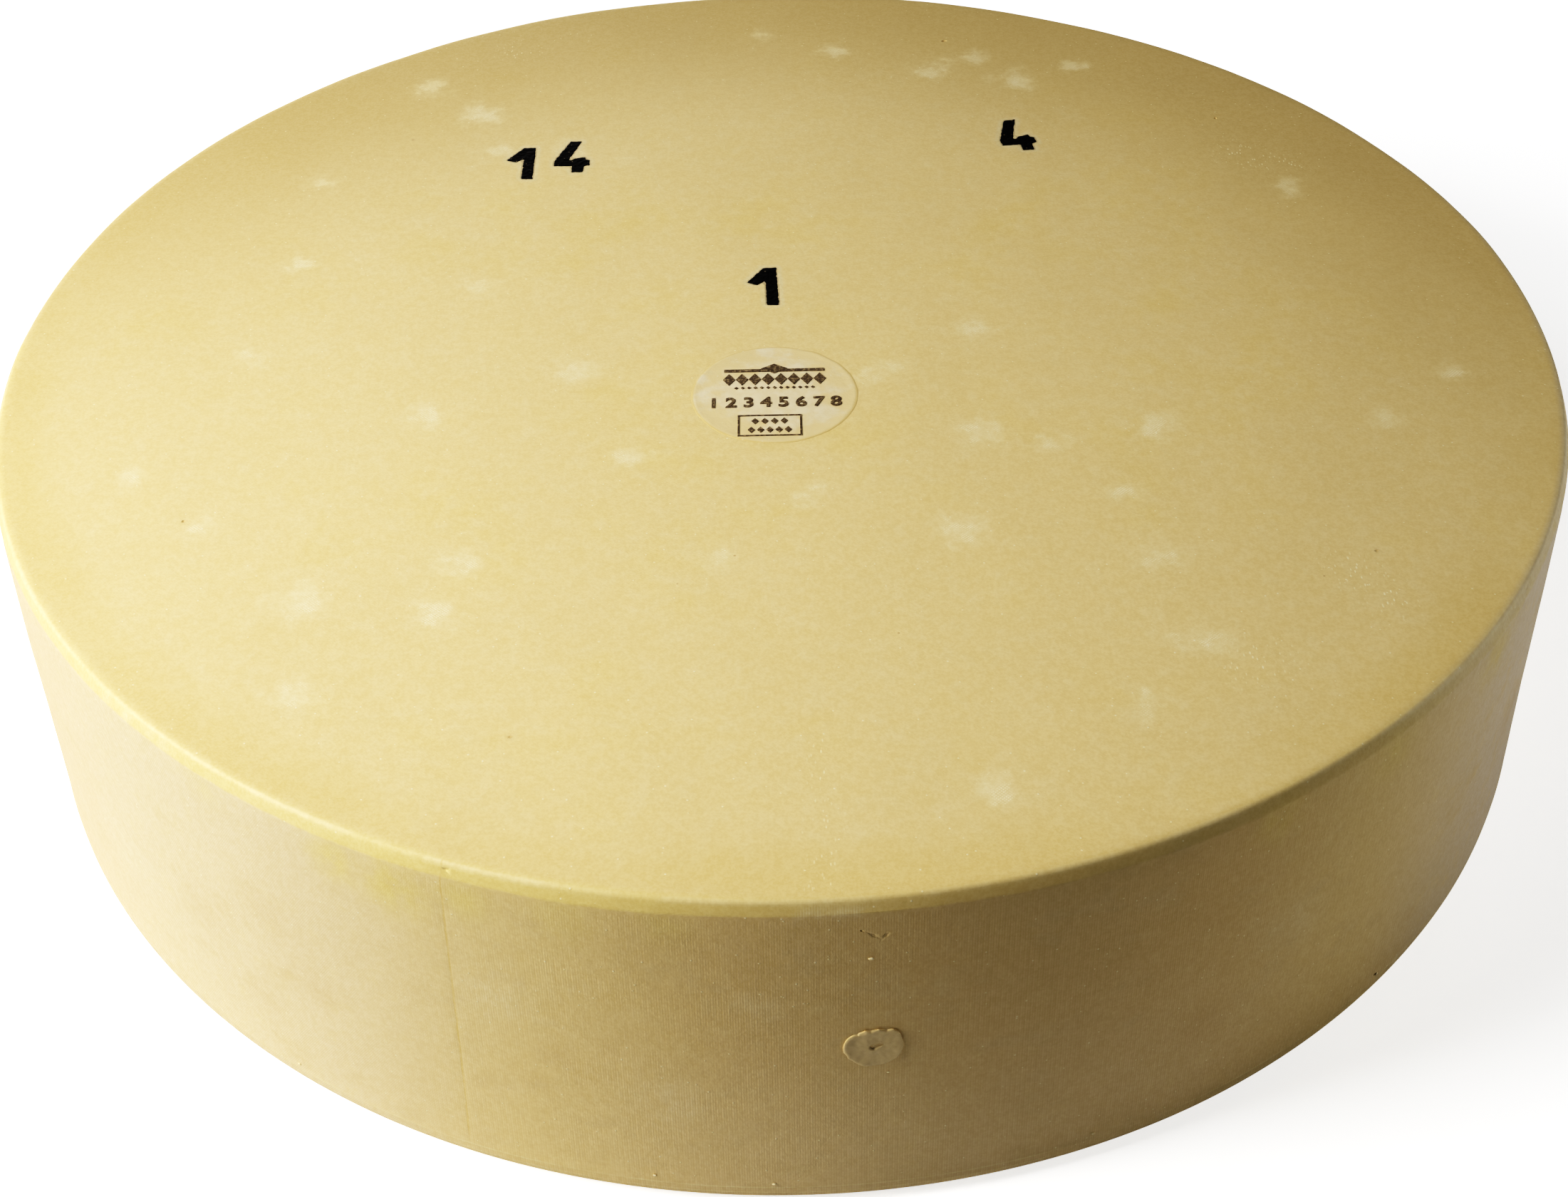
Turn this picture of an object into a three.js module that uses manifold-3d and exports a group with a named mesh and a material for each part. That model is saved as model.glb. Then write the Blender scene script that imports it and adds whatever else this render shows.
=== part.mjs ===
// A large wheel of extra-hard alpine cheese lying on its base, in millimetres, +Z up.
// The origin is the centre of the base, on the surface that the wheel rests on, and
// the front of the wheel faces -Y.
//
// The wheel is one pressed and brined body of cheese. A round casein label and four
// casein digits were laid on the fresh curd and pressed in level with its top, so each
// is a thin piece of its own that lies in a shallow recess of its own outline.

import * as THREE from "three";
import { mergeVertices } from "three/addons/utils/BufferGeometryUtils.js";
import Module from "manifold-3d";

const wasm = await Module();
wasm.setup();

// Driving dimensions
const WHEEL_RADIUS = 300; // halfway up the side
const WHEEL_HEIGHT = 142;
const BASE_SPREAD = 2.1; // the base stands out and the top draws in by this much
const RIM_RADIUS = 7.7; // rounding of the top edge
const FOOT_RADIUS = 8.3; // rounding of the bottom edge
const WHEEL_SIDES = 120;

const CASEIN_THICKNESS = 1;
const CASEIN_GAP = 0.3; // between a casein piece and the cheese round it and under it
const LABEL_RADIUS = 31.5;
const LABEL_CENTRE = [-2, -44.5];
const LABEL_SIDES = 72;

// Where the digits lie on the top: centre and turn in degrees
const ONE_BY_LABEL = { centre: [-6, 30], turn: 1 };
const ONE_OF_PAIR = { centre: [-111.5, 134], turn: 0 };
const FOUR_OF_PAIR = { centre: [-89, 139], turn: 0 };
const FOUR_ALONE = { centre: [106.5, 150], turn: 9 };

// The sample hole in the side, smeared shut with soft cheese
const SAMPLE_AZIMUTH = -85.3; // degrees from +X
const SAMPLE_HEIGHT = 78;
const SMEAR_RADIUS = 9.3;
const SMEAR_RISE = 0.7;
const SMEAR_ROOT = 1.5; // how far the smear's edge reaches into the side
const DIMPLE_RADIUS = 1.3;
const DIMPLE_DEPTH = 1.8;

// The hairline that the cloth's overlap left down the side
const SEAM_AZIMUTH_TOP = -109.6;
const SEAM_AZIMUTH_FOOT = -111.2;
const SEAM_WIDTH = 0.8;
const SEAM_DEPTH = 0.6;
const SEAM_FOOT_HEIGHT = 12;
const SEAM_TOP_HEIGHT = 134;

// How far a cutting shape stands past the surface that it cuts
const OVERCUT = 2;

const DEGREE = Math.PI / 180;

const rind = new THREE.MeshStandardMaterial({ color: 0xd9c27a, roughness: 0.55, metalness: 0 });
const paleCasein = new THREE.MeshStandardMaterial({ color: 0xd8c88f, roughness: 0.5, metalness: 0 });
const blackCasein = new THREE.MeshStandardMaterial({ color: 0x17120e, roughness: 0.5, metalness: 0 });

// A closed geometry as a solid that can be joined and cut.
function solidOf(geometry) {
  const bare = geometry.clone();
  bare.deleteAttribute("normal");
  bare.deleteAttribute("uv");
  const merged = mergeVertices(bare, 1e-4);
  return new wasm.Manifold(new wasm.Mesh({
    numProp: 3,
    vertProperties: new Float32Array(merged.attributes.position.array),
    triVerts: new Uint32Array(merged.index.array),
  }));
}

function geometryOf(solid) {
  const mesh = solid.getMesh();
  const geometry = new THREE.BufferGeometry();
  geometry.setAttribute("position", new THREE.BufferAttribute(mesh.vertProperties, 3));
  geometry.setIndex(new THREE.BufferAttribute(mesh.triVerts, 1));
  geometry.computeVertexNormals();
  return geometry;
}

// A point of the side's line, from the middle of the height: the side leans in evenly.
function sideRadius(height) {
  return WHEEL_RADIUS + BASE_SPREAD * (1 - 2 * height / WHEEL_HEIGHT);
}

// A solid of revolution round +Z from [radius, height] points that start and end on it.
function turned(points, sides) {
  const profile = points.map(([radius, height]) => new THREE.Vector2(radius, height));
  return new THREE.LatheGeometry(profile, sides).rotateX(Math.PI / 2);
}

function quarterRound(centre, radius, fromDegrees, toDegrees, steps) {
  const points = [];
  for (let step = 0; step <= steps; step += 1) {
    const angle = (fromDegrees + (toDegrees - fromDegrees) * step / steps) * DEGREE;
    points.push([centre[0] + radius * Math.cos(angle), centre[1] + radius * Math.sin(angle)]);
  }
  return points;
}

function wheelBody() {
  const footCentre = [sideRadius(FOOT_RADIUS) - FOOT_RADIUS, FOOT_RADIUS];
  const rimHeight = WHEEL_HEIGHT - RIM_RADIUS;
  const rimCentre = [sideRadius(rimHeight) - RIM_RADIUS, rimHeight];
  return turned([
    [0, 0],
    ...quarterRound(footCentre, FOOT_RADIUS, -90, 0, 6),
    [sideRadius(WHEEL_HEIGHT / 2), WHEEL_HEIGHT / 2],
    ...quarterRound(rimCentre, RIM_RADIUS, 0, 90, 6),
    [0, WHEEL_HEIGHT],
  ], WHEEL_SIDES);
}

// The digit one: a thick stem with a slanted flag, drawn about the middle of its box.
function oneOutline() {
  return [
    [6.3, -14], [5.8, 14], [0.5, 14], [-6.5, 3.1], [-2.2, 0.8], [1, 3.8], [1.2, -14],
  ];
}

// The open-topped digit four: a slanted stroke, a crossbar and a short stem.
function fourOutline() {
  return [
    [5.4, -13.9], [5.6, -8.4], [7.9, -8], [7.9, -3.2], [6, -2.6], [5.7, -0.4],
    [0.7, -1.6], [-0.4, -3], [-1.6, -3], [3.5, 13.9], [-1.8, 13.9],
    [-7.9, -3.5], [-7.8, -8.2], [0.1, -8.4], [0.2, -13.9],
  ];
}

// The same outline, anticlockwise, with each edge moved out by a distance.
function grown(outline, distance) {
  const count = outline.length;
  return outline.map((corner, index) => {
    const before = outline[(index + count - 1) % count];
    const after = outline[(index + 1) % count];
    const edgeIn = new THREE.Vector2(corner[0] - before[0], corner[1] - before[1]).normalize();
    const edgeOut = new THREE.Vector2(after[0] - corner[0], after[1] - corner[1]).normalize();
    const normalIn = new THREE.Vector2(edgeIn.y, -edgeIn.x);
    const normalOut = new THREE.Vector2(edgeOut.y, -edgeOut.x);
    const share = distance / (1 + normalIn.dot(normalOut));
    return [
      corner[0] + share * (normalIn.x + normalOut.x),
      corner[1] + share * (normalIn.y + normalOut.y),
    ];
  });
}

function prism(outline, depth) {
  const shape = new THREE.Shape(outline.map(([x, y]) => new THREE.Vector2(x, y)));
  return new THREE.ExtrudeGeometry(shape, { depth, bevelEnabled: false });
}

function disc(radius, depth, sides) {
  return turned([[0, 0], [radius, 0], [radius, depth], [0, depth]], sides);
}

// The space that a casein piece leaves in the top, for a grown outline or disc.
function placeInTop(geometry, { centre, turn }) {
  const floor = WHEEL_HEIGHT - CASEIN_THICKNESS - CASEIN_GAP;
  return geometry.rotateZ(turn * DEGREE).translate(centre[0], centre[1], floor);
}

function digitRecess(outline, place) {
  const depth = CASEIN_THICKNESS + CASEIN_GAP + OVERCUT;
  return placeInTop(prism(grown(outline, CASEIN_GAP), depth), place);
}

function labelRecess() {
  const depth = CASEIN_THICKNESS + CASEIN_GAP + OVERCUT;
  const hole = disc(LABEL_RADIUS + CASEIN_GAP, depth, LABEL_SIDES);
  return placeInTop(hole, { centre: LABEL_CENTRE, turn: 0 });
}

// Turns a shape that points along +Z to point outwards from the side of the wheel.
function placeOnSide(geometry, azimuth, height, reach) {
  return geometry
    .rotateY(90 * DEGREE)
    .translate(reach, 0, height)
    .rotateZ(azimuth * DEGREE);
}

// A low dome of smeared cheese whose root lies inside the side.
function smear() {
  const dome = turned([
    [0, -SMEAR_ROOT],
    [SMEAR_RADIUS, -SMEAR_ROOT],
    [SMEAR_RADIUS * 0.97, SMEAR_RISE * 0.3],
    [SMEAR_RADIUS * 0.86, SMEAR_RISE * 0.8],
    [SMEAR_RADIUS * 0.6, SMEAR_RISE],
    [0, SMEAR_RISE],
  ], 24);
  return placeOnSide(dome, SAMPLE_AZIMUTH, SAMPLE_HEIGHT, sideRadius(SAMPLE_HEIGHT));
}

function dimple() {
  const pit = turned([
    [0, -DIMPLE_DEPTH],
    [DIMPLE_RADIUS * 0.6, -DIMPLE_DEPTH * 0.8],
    [DIMPLE_RADIUS, SMEAR_RISE + OVERCUT],
    [0, SMEAR_RISE + OVERCUT],
  ], 12);
  return placeOnSide(pit, SAMPLE_AZIMUTH, SAMPLE_HEIGHT, sideRadius(SAMPLE_HEIGHT));
}

// A narrow wedge that runs down the side, with its edge inside the cheese.
function seamCut() {
  const length = SEAM_TOP_HEIGHT - SEAM_FOOT_HEIGHT;
  const halfWidth = SEAM_WIDTH / 2 * (1 + OVERCUT / SEAM_DEPTH);
  const wedge = prism([[-SEAM_DEPTH, 0], [OVERCUT, -halfWidth], [OVERCUT, halfWidth]], length);
  const lean = Math.atan(2 * BASE_SPREAD / WHEEL_HEIGHT);
  const across = (SEAM_AZIMUTH_TOP - SEAM_AZIMUTH_FOOT) * DEGREE * WHEEL_RADIUS;
  return wedge
    .rotateY(-lean)
    .rotateX(-Math.atan(across / length))
    .translate(sideRadius(SEAM_FOOT_HEIGHT), 0, SEAM_FOOT_HEIGHT)
    .rotateZ(SEAM_AZIMUTH_FOOT * DEGREE);
}

function cheeseWheel() {
  const cuts = [
    labelRecess(),
    digitRecess(oneOutline(), ONE_BY_LABEL),
    digitRecess(oneOutline(), ONE_OF_PAIR),
    digitRecess(fourOutline(), FOUR_OF_PAIR),
    digitRecess(fourOutline(), FOUR_ALONE),
    dimple(),
    seamCut(),
  ];
  let solid = solidOf(wheelBody()).add(solidOf(smear()));
  for (const cut of cuts) {
    solid = solid.subtract(solidOf(cut));
  }
  return new THREE.Mesh(geometryOf(solid), rind);
}

function digit(outline, { centre, turn }) {
  const mesh = new THREE.Mesh(prism(outline, CASEIN_THICKNESS), blackCasein);
  mesh.position.set(centre[0], centre[1], WHEEL_HEIGHT - CASEIN_THICKNESS);
  mesh.rotation.z = turn * DEGREE;
  return mesh;
}

function caseinLabel() {
  const mesh = new THREE.Mesh(disc(LABEL_RADIUS, CASEIN_THICKNESS, LABEL_SIDES), paleCasein);
  mesh.position.set(LABEL_CENTRE[0], LABEL_CENTRE[1], WHEEL_HEIGHT - CASEIN_THICKNESS);
  return mesh;
}

function named(name, mesh) {
  mesh.name = name;
  return mesh;
}

const cheese = new THREE.Group();
cheese.add(
  named("cheese_wheel", cheeseWheel()),
  named("casein_label", caseinLabel()),
  named("casein_one_by_label", digit(oneOutline(), ONE_BY_LABEL)),
  named("casein_one_of_pair", digit(oneOutline(), ONE_OF_PAIR)),
  named("casein_four_of_pair", digit(fourOutline(), FOUR_OF_PAIR)),
  named("casein_four_alone", digit(fourOutline(), FOUR_ALONE)),
);

export default cheese;
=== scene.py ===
import math

import bmesh
import bpy
import numpy as np
from mathutils import Matrix, Vector, kdtree


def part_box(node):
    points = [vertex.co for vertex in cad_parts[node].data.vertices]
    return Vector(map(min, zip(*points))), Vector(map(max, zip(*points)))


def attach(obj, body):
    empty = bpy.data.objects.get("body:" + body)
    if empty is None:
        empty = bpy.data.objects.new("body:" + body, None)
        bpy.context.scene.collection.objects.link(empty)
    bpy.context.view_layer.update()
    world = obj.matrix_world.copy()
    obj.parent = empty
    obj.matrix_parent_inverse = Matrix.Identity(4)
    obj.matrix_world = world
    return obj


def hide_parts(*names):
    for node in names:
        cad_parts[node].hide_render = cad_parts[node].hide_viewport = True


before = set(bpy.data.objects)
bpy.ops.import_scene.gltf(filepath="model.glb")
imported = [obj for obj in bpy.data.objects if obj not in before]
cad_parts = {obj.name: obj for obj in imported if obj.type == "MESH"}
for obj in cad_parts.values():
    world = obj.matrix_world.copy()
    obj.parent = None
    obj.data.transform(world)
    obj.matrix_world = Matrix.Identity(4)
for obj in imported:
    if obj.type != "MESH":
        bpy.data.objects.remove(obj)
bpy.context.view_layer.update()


# The cheese.
# One pressed, brined and long-ripened body of extra-hard cheese. Its side was formed in a tall
# hoop, its faces by press plates through woven cloth, and its rind by months of brushing.

wheel_low, wheel_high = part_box("cheese_wheel")
WHEEL_HEIGHT = wheel_high.z - wheel_low.z
FOOT_RADIUS = (wheel_high.x - wheel_low.x) / 2 + 0.0002
TOP_RADIUS = FOOT_RADIUS - 0.0042      # the side draws in a little towards the top
RIM_ROUNDING = 0.0077
FOOT_ROUNDING = 0.0083
ROUNDING_STEPS = 8
# The rim: how far in from the side and down from the top each of its rings lies. It turns over
# quickly at the top face, then runs steeply down to the side.
RIM_PROFILE = (
    (0.0000, 0.0077), (0.00005, 0.0056), (0.0002, 0.0046), (0.0005, 0.0039), (0.0011, 0.0024),
    (0.0016, 0.0012), (0.0021, 0.0005), (0.0029, 0.0001), (0.0050, 0.0000),
)
COLUMNS = 480
SIDE_ROWS = 32
TOP_CELL = 0.0045
BASE_CELL = 0.03

HOOP_MARKS = ((0.0040, 0.00014), (0.0066, 0.00018), (0.0098, 0.00012))
HOOP_MARK_WIDTH = 0.0009
SEAM_TOP = math.radians(-110.2)        # where the two ends of the hoop's band met
SEAM_FOOT = math.radians(-110.9)
SEAM_WIDTH = 0.0006
SEAM_DEPTH = 0.00003

LONG_UNEVENNESS = (0.10, 0.0011)       # size of the waves and their whole height
SHORT_UNEVENNESS = (0.028, 0.00022)


def deselect_all():
    for thing in bpy.context.selected_objects:
        thing.select_set(False)


def take(piece):
    """Makes one piece the only one selected and the active one."""
    deselect_all()
    piece.select_set(True)
    bpy.context.view_layer.objects.active = piece


def edit(piece):
    """Goes into edit mode on one piece, with nothing of it selected."""
    take(piece)
    bpy.ops.object.mode_set(mode="EDIT")
    drop_selection()


def leave_edit():
    bpy.ops.object.mode_set(mode="OBJECT")


def drop_selection():
    bpy.ops.mesh.select_all(action="DESELECT")


def pick(kind, wanted):
    """Selects the vertices, edges or faces of the edited piece that pass a test on their place."""
    bpy.ops.mesh.select_mode(type=kind)
    drop_selection()
    shape = bmesh.from_edit_mesh(bpy.context.edit_object.data)
    for part in {"VERT": shape.verts, "EDGE": shape.edges, "FACE": shape.faces}[kind]:
        if kind == "VERT":
            part.select_set(wanted(part.co))
        elif kind == "EDGE":
            part.select_set(wanted(*(corner.co for corner in part.verts)))
        else:
            part.select_set(wanted(part.calc_center_median()))
    bmesh.update_edit_mesh(bpy.context.edit_object.data)


def score(piece_faces, axis, places):
    """Cuts the picked faces along parallel planes, so that they can follow an uneven surface."""
    for place in places:
        pick("FACE", piece_faces)
        bpy.ops.mesh.bisect(plane_co=Vector(axis) * place, plane_no=axis)


def finish_with(piece, kind, **settings):
    """Adds one modifier to a piece and applies it."""
    modifier = piece.modifiers.new(kind.title(), kind)
    for name, value in settings.items():
        setattr(modifier, name, value)
    take(piece)
    bpy.ops.object.modifier_apply(modifier=modifier.name)


def cloudy(name, size, depth=1):
    """A soft noise that pushes a surface in and out."""
    noise = bpy.data.textures.new(name, "CLOUDS")
    noise.noise_scale = size
    noise.noise_depth = depth
    return noise


long_waves = cloudy("long_unevenness", LONG_UNEVENNESS[0])
short_waves = cloudy("short_unevenness", SHORT_UNEVENNESS[0])


def settle(piece, direction="Z", vertex_group=""):
    """Gives a piece the same gentle unevenness as the rind, so that it lies flush in it."""
    for waves, height in ((long_waves, LONG_UNEVENNESS[1]), (short_waves, SHORT_UNEVENNESS[1])):
        finish_with(
            piece, "DISPLACE", texture=waves, strength=height, mid_level=0.5, direction=direction,
            vertex_group=vertex_group,
        )


def around(place):
    return math.atan2(place.y, place.x)


def on_side(angle, height, outwards=0.0):
    """A point on the side of the wheel."""
    radius = FOOT_RADIUS + (TOP_RADIUS - FOOT_RADIUS) * height / WHEEL_HEIGHT + outwards
    return Vector((radius * math.cos(angle), radius * math.sin(angle), height))


bpy.ops.mesh.primitive_cylinder_add(
    vertices=COLUMNS, radius=FOOT_RADIUS, depth=WHEEL_HEIGHT, end_fill_type="NGON",
    location=(0, 0, WHEEL_HEIGHT / 2),
)
wheel = bpy.context.object
wheel.name = "wheel_of_cheese"
bpy.ops.object.transform_apply(location=True)
edit(wheel)
pick("VERT", lambda place: place.z > WHEEL_HEIGHT / 2)
draw = TOP_RADIUS / FOOT_RADIUS
bpy.ops.transform.resize(value=(draw, draw, 1), center_override=(0, 0, 0))
for level, rounding in ((WHEEL_HEIGHT, RIM_ROUNDING), (0, FOOT_ROUNDING)):
    pick("EDGE", lambda a, b: abs(a.z - level) < 1e-5 and abs(b.z - level) < 1e-5)
    bpy.ops.mesh.bevel(offset=rounding, segments=ROUNDING_STEPS, affect="EDGES")
pick("EDGE", lambda a, b: abs(a.z - b.z) > WHEEL_HEIGHT / 2)
bpy.ops.mesh.subdivide(number_cuts=SIDE_ROWS)
bpy.ops.mesh.select_mode(type="VERT")
rings = {}
for corner in bmesh.from_edit_mesh(wheel.data).verts:
    if corner.co.z > WHEEL_HEIGHT - 0.0079:
        rings.setdefault(round(corner.co.z, 5), []).append(corner.index)
for (level, ring), (inset, depth) in zip(sorted(rings.items()), RIM_PROFILE):
    drop_selection()
    net = bmesh.from_edit_mesh(wheel.data)
    net.verts.ensure_lookup_table()
    for index in ring:
        net.verts[index].select_set(True)
    radius = net.verts[ring[0]].co.xy.length
    change = (TOP_RADIUS - inset) / radius
    bpy.ops.transform.resize(value=(change, change, 1), center_override=(0, 0, 0))
    bpy.ops.transform.translate(value=(0, 0, WHEEL_HEIGHT - depth - level))

# the fine ridges that the hoop left round the foot
for height, rise in HOOP_MARKS:
    levels = [height - HOOP_MARK_WIDTH / 2, height, height + HOOP_MARK_WIDTH / 2]
    score(lambda middle: 0.001 < middle.z < 0.014, (0, 0, 1), levels)
    pick("VERT", lambda place: abs(place.z - height) < 1e-5)
    grow = 1 + rise / FOOT_RADIUS
    bpy.ops.transform.resize(value=(grow, grow, 1), center_override=(0, 0, 0))

# the seam down the side, cut by three planes that stand on end, and pressed in along the middle
seam_line = on_side(SEAM_TOP, WHEEL_HEIGHT) - on_side(SEAM_FOOT, 0)
seam_across = seam_line.cross(Vector((math.cos(SEAM_TOP), math.sin(SEAM_TOP), 0))).normalized()


def near_seam(place):
    facing = math.cos(around(place) - SEAM_TOP) > 0.998
    return facing and place.xy.length > TOP_RADIUS - 0.003 and 0.009 < place.z < 0.1385


for offset in (-SEAM_WIDTH / 2, 0, SEAM_WIDTH / 2):
    pick("FACE", near_seam)
    bpy.ops.mesh.bisect(
        plane_co=on_side(SEAM_FOOT, 0) + seam_across * offset, plane_no=seam_across
    )


def in_seam(place):
    across = abs((place - on_side(SEAM_FOOT, 0)).dot(seam_across))
    return across < 1e-5 and near_seam(place) and 0.011 < place.z < 0.136


pick("VERT", in_seam)
inwards = -Vector((math.cos(SEAM_TOP), math.sin(SEAM_TOP), 0))
bpy.ops.transform.translate(value=inwards * SEAM_DEPTH)

# a net of square cells on both faces
top_lines = np.arange(-FOOT_RADIUS + TOP_CELL / 2, FOOT_RADIUS, TOP_CELL)
base_lines = np.arange(-FOOT_RADIUS + BASE_CELL / 2, FOOT_RADIUS, BASE_CELL)
for axis in ((1, 0, 0), (0, 1, 0)):
    score(lambda middle: middle.z > WHEEL_HEIGHT - 1e-5, axis, top_lines)
    score(lambda middle: middle.z < 1e-5, axis, base_lines)
# Knocks, which are scooped out further down: each is at an angle round the rim or at a place on
# the top face, and the lump that scoops it has this half width, thickness and height.
RIM_KNOCKS = (
    (-109.9, 0.0016, 0.0012, 0.0010), (-33.0, 0.0030, 0.0011, 0.0010),
)
KNOCK_COUNT = 6
knock_draws = np.random.default_rng(23)
face_knocks = []
for knock in range(KNOCK_COUNT):
    angle = math.tau * (knock + knock_draws.uniform(0.1, 0.9)) / KNOCK_COUNT
    reach = knock_draws.uniform(0.21, 0.28)
    width = knock_draws.uniform(0.0005, 0.0016)
    face_knocks.append((reach * math.cos(angle), reach * math.sin(angle), width, 0.0007, 0.0006))

# finer cells round the casein marks, the knocks, the nick and the smear, which have sharp detail
MARKS = ("casein_one_by_label", "casein_one_of_pair", "casein_four_of_pair", "casein_four_alone")
MARK_BOXES = [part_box(mark) for mark in MARKS]
SMEAR_ANGLE = math.radians(-85.3)
SMEAR_HEIGHT = 0.078


def near_marks(place, reach=0.0045):
    if place.z < WHEEL_HEIGHT - 1e-4:
        return False
    for low, high in MARK_BOXES:
        inside = low.x - reach < place.x < high.x + reach
        if inside and low.y - reach < place.y < high.y + reach:
            return True
    for x, y, *sizes in face_knocks:
        if abs(place.x - x) < reach and abs(place.y - y) < reach:
            return True
    return False


def near_smear(place):
    close = abs(around(place) - SMEAR_ANGLE) < math.radians(1.9)
    return close and place.xy.length > TOP_RADIUS - 0.004 and 0.064 < place.z < 0.1385


pick("FACE", near_marks)
bpy.ops.mesh.subdivide(number_cuts=3)
pick("FACE", near_smear)
bpy.ops.mesh.subdivide(number_cuts=2)
leave_edit()

# The wheel stands flat on its base, so the unevenness fades out towards the foot.
loose = wheel.vertex_groups.new(name="loose")
for vertex in wheel.data.vertices:
    freedom = min(max((vertex.co.z - 0.001) / 0.02, 0.0), 1.0)
    loose.add([vertex.index], freedom, "REPLACE")
settle(wheel, direction="NORMAL", vertex_group="loose")

# Knocks: each is a scoop, at an angle round the wheel or a place on the top face, taken out by a
# lump of this width, thickness and height.
chipping = cloudy("chipping", 0.0022, 2)


def lump(place, sizes, turn):
    bpy.ops.mesh.primitive_ico_sphere_add(subdivisions=3, radius=1, location=place)
    made = bpy.context.object
    made.scale = sizes
    made.rotation_euler.z = turn
    bpy.ops.object.transform_apply(location=True, rotation=True, scale=True)
    finish_with(made, "DISPLACE", texture=chipping, strength=min(sizes) * 0.6, mid_level=0.5)
    return made


lumps = []
for degrees, width, thickness, height in RIM_KNOCKS:
    angle = math.radians(degrees)
    corner = TOP_RADIUS - 0.0011 + thickness * 0.70
    level = WHEEL_HEIGHT - 0.0024 + height * 0.30
    middle = Vector((corner * math.cos(angle), corner * math.sin(angle), level))
    lumps.append(lump(middle, (width, thickness, height), angle + math.pi / 2))
for x, y, width, thickness, height in face_knocks:
    lumps.append(lump(Vector((x, y, WHEEL_HEIGHT + height * 0.55)), (width, thickness, height), 0.3))

# the nick under the rim: two shallow strokes of a flake that lifted, meeting in a V
NICK_STROKES = (
    (-85.5, 0.1283, (0.0058, 0.0016, 0.0015), 0.64), (-84.7, 0.1271, (0.0044, 0.0016, 0.0015), -0.98),
    (-86.05, 0.1302, (0.0010, 0.0017, 0.0008), 0.2),
)
strokes = []
for degrees, height, sizes, tilt in NICK_STROKES:
    stroke = lump(Vector((0, 0, 0)), sizes, 0)
    stroke.rotation_euler = (0, tilt, math.radians(degrees + 90))
    stroke.location = on_side(math.radians(degrees), height, 0.0012)
    take(stroke)
    bpy.ops.object.transform_apply(location=True, rotation=True)
    strokes.append(stroke)
take(strokes[0])
for stroke in strokes[1:]:
    stroke.select_set(True)
bpy.ops.object.join()
nick = bpy.context.object
finish_with(nick, "REMESH", mode="VOXEL", voxel_size=0.00025)
lumps.append(nick)
take(lumps[0])
for made in lumps[1:]:
    made.select_set(True)
bpy.ops.object.join()
wedge = bpy.context.object
finish_with(
    wheel, "BOOLEAN", object=wedge, operation="DIFFERENCE", solver="EXACT"
)
bpy.data.objects.remove(wedge)
take(wheel)
bpy.ops.object.shade_smooth_by_angle(angle=math.radians(40))


def spread_over(piece, name, spots):
    """Paints a soft-edged value on a piece, strongest at each spot: place, size and strength."""
    places = np.empty(len(piece.data.vertices) * 3)
    piece.data.vertices.foreach_get("co", places)
    places = places.reshape(-1, 3)
    value = np.zeros(len(places))
    for place, size, strength in spots:
        apart = ((places - np.array(place)) ** 2).sum(axis=1)
        value = np.maximum(value, strength * np.exp(-apart / (2 * size * size)))
    layer = piece.data.attributes.new(name, "FLOAT", "POINT")
    layer.data.foreach_set("value", value)


# Pale blooms, where the rind has dried through to the curd. They are scattered over the top face,
# each a little way from the next.
BLOOM_COUNT = 40
BLOOM_GAP = 0.022
BLOOM_REACH = 0.265
bloom_draws = np.random.default_rng(41)
blooms = []
while len(blooms) < BLOOM_COUNT:
    angle = bloom_draws.uniform(0, math.tau)
    reach = BLOOM_REACH * math.sqrt(bloom_draws.uniform(0, 1))
    size = bloom_draws.uniform(0.005, 0.009)
    middle = Vector((reach * math.cos(angle), reach * math.sin(angle), WHEEL_HEIGHT))
    if all((middle - other).length > BLOOM_GAP for other, width, strength in blooms):
        blooms.append((middle, size, 1.0))
spread_over(wheel, "bloom", blooms)


def rim_point(degrees, down=0.0033):
    angle = math.radians(degrees)
    reach = TOP_RADIUS - 0.0011
    return (reach * math.cos(angle), reach * math.sin(angle), WHEEL_HEIGHT - down)


bruises = [((x, y, WHEEL_HEIGHT), 0.0006, 0.7) for x, y, *sizes in face_knocks]
bruises += [
    (on_side(math.radians(degrees), height), size, strength)
    for degrees, height, size, strength in (
        (-104.4, 0.066, 0.005, 0.16), (-102.6, 0.058, 0.004, 0.16), (-106.0, 0.052, 0.003, 0.2),
        (-100.8, 0.074, 0.003, 0.14), (-124.0, 0.088, 0.009, 0.14), (-121.0, 0.062, 0.008, 0.16),
        (-126.0, 0.040, 0.007, 0.16), (-131.0, 0.066, 0.008, 0.14), (-64.0, 0.050, 0.006, 0.2),
        (-30.0, 0.072, 0.008, 0.2), (20.0, 0.080, 0.008, 0.3), (75.0, 0.060, 0.007, 0.3),
        (130.0, 0.090, 0.009, 0.3), (165.0, 0.050, 0.006, 0.3),
    )
]
spread_over(wheel, "bruise", bruises)
scuffs = [(rim_point(-89 + step / 2, 0.0042), 0.0013, 1.0) for step in range(6)]
scuffs += [(rim_point(degrees), 0.0012, 0.8) for degrees in range(-137, -130, 2)]
scuffs += [
    (on_side(math.radians(degrees), height), size, 0.35)
    for degrees, height, size in (
        (-107.5, 0.090, 0.008), (-97.5, 0.050, 0.007), (-92.0, 0.098, 0.005),
        (-58.0, 0.080, 0.008), (-140.0, 0.060, 0.010), (60.0, 0.070, 0.010), (110.0, 0.060, 0.008),
    )
]
spread_over(wheel, "scuff", scuffs)
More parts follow.
